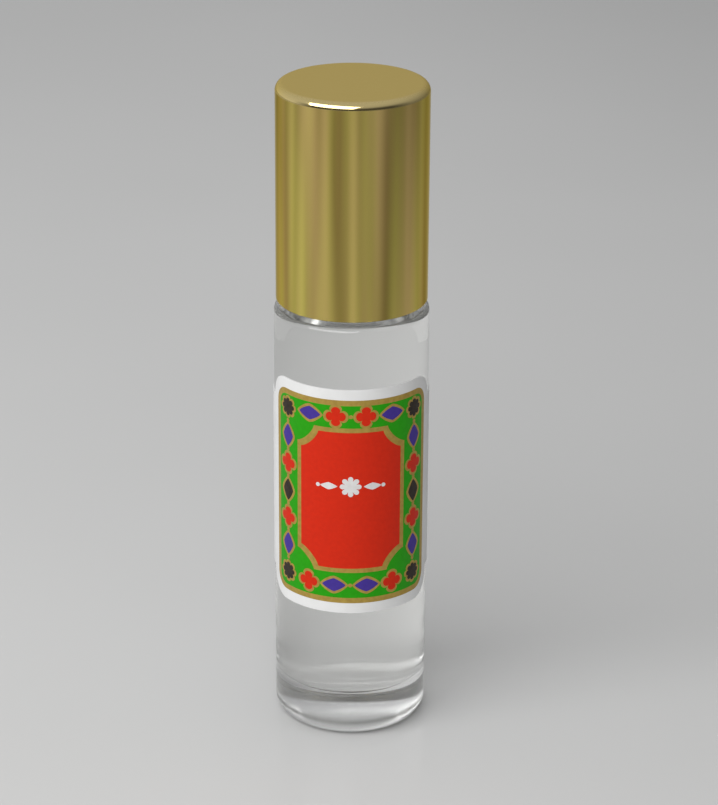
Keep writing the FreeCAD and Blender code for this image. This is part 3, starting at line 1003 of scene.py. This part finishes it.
class ROLLON_OT_inner_cap(bpy.types.Operator):
    """Model the moulded liner with its web, pad ring, grip ribs and thread"""

    bl_idname = "rollon.inner_cap"
    bl_label = "Inner Cap"

    def execute(self, context):
        cap = context.scene.rollon_cap
        vial = context.scene.rollon_vial
        edge = cap.liner_edge
        radius = cap.liner_radius
        bore = radius - cap.liner_wall
        foot, top = LINER_LOW.z, LINER_HIGH.z
        grip_foot, grip_top = foot + cap.grip_setback, top - cap.grip_setback
        web_foot = PAD_HIGH.z + cap.pad_play
        web_top = web_foot + cap.web
        pocket = PAD_HIGH.x + cap.pad_room
        ring = pocket + cap.ring_wall
        bead_top = PAD_LOW.z - cap.pad_play
        corners = [
            (0.0, web_foot, 0.0),
            (pocket, web_foot, 0.0),
            (pocket, bead_top, 0.0),
            (PAD_HIGH.x - cap.bead_bite, bead_top - cap.bead / 2, 0.0),
            (pocket, bead_top - cap.bead, 0.0),
            (pocket, cap.ring_foot, edge),
            (ring, cap.ring_foot, edge),
            (ring, web_foot, edge),
            (bore, web_foot, edge),
            (bore, foot + cap.mouth_chamfer, 0.0),
            (bore + cap.mouth_chamfer, foot, 0.0),
            (radius, foot, edge),
            (radius, grip_foot, 0.0),
            (radius, grip_top, 0.0),
            (radius, top, edge),
            (bore, top, edge),
            (bore, web_top, edge),
            (0.0, web_top, 0.0),
        ]
        thread_run = (bore, foot + cap.mouth_chamfer, web_foot - edge, LINER_CUTS)
        grip_run = (radius, grip_foot, grip_top, GRIP_CUTS)
        piece = turn_piece("cap_liner", corners, cap.slices, runs=[thread_run, grip_run])
        start = thread_start(vial) - THREAD_LAG * vial.thread_pitch
        raise_thread(piece, vial, bore, cap.thread_crest, (foot, web_foot), start,
                     half_widths=(0.18 * MM, 0.45 * MM))
        self.raise_ribs(piece, cap, grip_foot, grip_top)
        smooth_off(piece, angle=40.0)
        material = clouded("white_plastic", cap.liner, cap.liner_flow, roughness=(0.32, 0.44), cloud=180.0,
                           grain=2600.0, relief=0.003 * MM)
        hand_over(piece, material, "cap", "inner_cap")
        return {"FINISHED"}

    def raise_ribs(self, piece, cap, low, high):
        """Raises the upright grip ribs from the outside of the liner."""
        step = math.tau / cap.grip_count
        half = cap.grip_width / 2 / cap.liner_radius
        for vertex in piece.data.vertices:
            place = vertex.co
            away = math.hypot(place.x, place.y)
            if abs(away - cap.liner_radius) > SAME_WALL or not low + TOUCH < place.z < high - TOUCH:
                continue
            turn = math.atan2(place.y, place.x) % step
            if min(turn, step - turn) <= half:
                place.x *= LINER_HIGH.x / away
                place.y *= LINER_HIGH.x / away


class ROLLON_OT_gold_shell(bpy.types.Operator):
    """Model the drawn gold shell of the cap"""

    bl_idname = "rollon.gold_shell"
    bl_label = "Gold Shell"

    def execute(self, context):
        cap = context.scene.rollon_cap
        bore = SHELL_RADIUS - cap.shell_wall
        foot, top = SHELL_LOW.z, SHELL_HIGH.z
        corners = [
            (0.0, top - cap.shell_wall, 0.0),
            (bore, top - cap.shell_wall, cap.shell_edge - cap.shell_wall),
            (bore, foot, cap.hem),
            (SHELL_RADIUS, foot, cap.hem),
            (SHELL_RADIUS, top, cap.shell_edge),
            (0.0, top, 0.0),
        ]
        piece = turn_piece("gold_shell", corners, cap.slices)
        smooth_off(piece, angle=40.0)
        hand_over(piece, self.finish(cap), "cap", "cap_shell")
        return {"FINISHED"}

    def finish(self, cap):
        """Polished gold with upright streaks on the side, partly drawn streaks and partly painted
        reflections, and a satin top.
        """
        material, tree, shader = new_material("gold_metal")
        streaks = place_effect(tree, streaks_and_painted_reflections(), Shade_Scale=3.4, Hue_Scale=4.6, Slant=4.0)
        marks = place_effect(tree, cloud_and_grain(), Cloud_Scale=220.0, Grain_Scale=3500.0)
        # Dark and bright streaks on the side: partly the drawn tube's own tone, partly painted reflections.
        dark = blend_colours(tree, streaks["Hue"], cap.olive, cap.olive_rose)
        bright = blend_colours(tree, streaks["Hue"], cap.gold, cap.gold_rose)
        side = blend_colours(tree, streaks["Shade"], dark, bright)
        height = axes(tree)["Z"]
        on_rim, on_top = [
            ramp(tree, height, *(SHELL_HIGH.z - share * cap.shell_edge for share in shares))
            for shares in (SATIN_COLOUR, SATIN_GLOSS)
        ]
        join(tree, shader["Base Color"], blend_colours(tree, on_rim, side, cap.satin))
        polished = between(tree, marks["Grain"], 0.07, 0.11)
        satin = between(tree, marks["Grain"], 0.30, 0.38)
        join(tree, shader["Roughness"], blend_values(tree, on_top, polished, satin))
        set_values(material, Specular_Tint=(*cap.sheen, 1.0), Metallic=1.0)
        return material


class ROLLON_OT_stage(bpy.types.Operator):
    """Set the floor, the soft light and the camera"""

    bl_idname = "rollon.stage"
    bl_label = "Stage"

    def execute(self, context):
        stage = context.scene.rollon_stage
        self.lay_floor(stage)
        self.light_sky(context, stage)
        self.hang_lamp(stage)
        self.set_camera(context, stage)
        context.scene.view_settings.view_transform = "Standard"
        context.scene.cycles.max_bounces = 32
        context.scene.cycles.transmission_bounces = 32
        context.scene.cycles.glossy_bounces = 16
        return {"FINISHED"}

    def lay_floor(self, stage):
        """A wide plain floor with a faint sheen, with painted shade that greys it far away and towards the
        right, away from the light.
        """
        bpy.ops.object.select_all(action="DESELECT")
        bpy.ops.mesh.primitive_plane_add(size=FLOOR_SIZE, location=(0.0, 0.0, -FLOOR_DROP))
        floor = bpy.context.active_object
        floor.name = "floor"
        material = clouded("pale_floor", stage.floor, stage.floor_cloud, roughness=(0.16, 0.2),
                           cloud=5.0, grain=40.0)
        set_values(material, Specular_IOR_Level=0.3)
        tree = material.node_tree
        place = put(tree, "ShaderNodeTexCoord").outputs["Object"]
        away = calculate(tree, "LENGTH", place, kind="ShaderNodeVectorMath")
        # Painted shade: the floor's colour greys with the distance from the object and towards the right,
        # standing in for light that falls off away from the lamp.
        by_distance = between(tree, away, 0.0, FLOOR_SHADE_SHARE, *FLOOR_FAR)
        by_side = between(tree, axes(tree)["X"], 0.0, FLOOR_SHADE_SHARE, *FLOOR_RIGHT)
        share = calculate(tree, "ADD", by_distance, by_side)
        socket = sockets(material)["Base Color"]
        join(tree, socket, blend_colours(tree, share, socket.links[0].from_socket, stage.floor_painted_shade))
        floor.data.materials.append(material)

    def light_sky(self, context, stage):
        """Soft light from the left and overhead, with a dim room behind the camera."""
        world = bpy.data.worlds.new("soft_sky")
        world.use_nodes = True
        context.scene.world = world
        tree = world.node_tree
        towards = axes(tree, "Generated")
        low_sky = blend_colours(tree, ramp(tree, towards["X"], *SKY_ACROSS), stage.horizon, stage.shade)
        open_sky = blend_colours(tree, ramp(tree, towards["Z"], *SKY_RISE), low_sky, stage.zenith)
        behind = calculate(tree, "MULTIPLY", ramp(tree, towards["Y"], *ROOM_DEPTH),
                           ramp(tree, towards["Z"], *ROOM_HEIGHT))
        sky = tree.nodes["Background"]
        join(tree, sky.inputs["Color"], blend_colours(tree, behind, open_sky, stage.room))

    def hang_lamp(self, stage):
        """A soft key lamp that faces the object from the front left."""
        aim = Vector(LAMP_AIM) - Vector(LAMP_PLACE)
        turn = aim.to_track_quat("-Z", "Y").to_euler()
        bpy.ops.object.light_add(type="AREA", location=LAMP_PLACE, rotation=turn)
        lamp = bpy.context.active_object
        lamp.name = "key_lamp"
        lamp.data.shape = "RECTANGLE"
        lamp.data.size, lamp.data.size_y = LAMP_SIZE
        lamp.data.energy = stage.key_power

    def set_camera(self, context, stage):
        """The camera, looking down on the front of the bottle."""
        roll = Matrix.Rotation(math.radians(CAMERA_ROLL), 3, "Z")
        turn = Matrix.Rotation(math.radians(CAMERA_TILT), 3, "X") @ roll
        bpy.ops.object.camera_add(location=CAMERA_PLACE, rotation=turn.to_euler())
        camera = bpy.context.active_object
        camera.name = "camera"
        camera.data.lens = stage.lens
        camera.data.sensor_width = 36.0
        camera.data.clip_start = 0.01
        camera.data.clip_end = 20.0
        context.scene.camera = camera


class ROLLON_PT_pieces(bpy.types.Panel):
    """Lists the pieces of the roll-on bottle"""

    bl_idname = "ROLLON_PT_pieces"
    bl_label = "Roll-on Bottle"
    bl_space_type = "VIEW_3D"
    bl_region_type = "UI"
    bl_category = "Roll-on"

    def draw(self, context):
        column = self.layout.column(align=True)
        for operator in OPERATORS:
            column.operator(operator.bl_idname)


GROUPS = {
    "rollon_vial": VialSettings,
    "rollon_roller": RollerSettings,
    "rollon_cap": CapSettings,
    "rollon_label": LabelSettings,
    "rollon_stage": StageSettings,
}

OPERATORS = (
    ROLLON_OT_glass_bottle,
    ROLLON_OT_perfume_oil,
    ROLLON_OT_front_label,
    ROLLON_OT_label_print,
    ROLLON_OT_roller_fitment,
    ROLLON_OT_roller_ball,
    ROLLON_OT_seal_pad,
    ROLLON_OT_inner_cap,
    ROLLON_OT_gold_shell,
    ROLLON_OT_stage,
)


def register():
    """Registers the settings, each named after its key, the operators and the panel."""
    for name, group in GROUPS.items():
        for key, setting in group.__annotations__.items():
            setting.keywords["name"] = key.replace("_", " ").capitalize()
        bpy.utils.register_class(group)
        setattr(bpy.types.Scene, name, PointerProperty(type=group))
    for operator in OPERATORS:
        bpy.utils.register_class(operator)
    bpy.utils.register_class(ROLLON_PT_pieces)


def unregister():
    """Takes away what register added."""
    bpy.utils.unregister_class(ROLLON_PT_pieces)
    for operator in reversed(OPERATORS):
        bpy.utils.unregister_class(operator)
    for name, group in GROUPS.items():
        delattr(bpy.types.Scene, name)
        bpy.utils.unregister_class(group)


def main():
    """Builds every piece and the stage."""
    register()
    bpy.ops.rollon.glass_bottle()
    bpy.ops.rollon.perfume_oil()
    bpy.ops.rollon.front_label()
    bpy.ops.rollon.label_print()
    bpy.ops.rollon.roller_fitment()
    bpy.ops.rollon.roller_ball()
    bpy.ops.rollon.seal_pad()
    bpy.ops.rollon.inner_cap()
    bpy.ops.rollon.gold_shell()
    bpy.ops.rollon.stage()


if __name__ == "__main__":
    main()
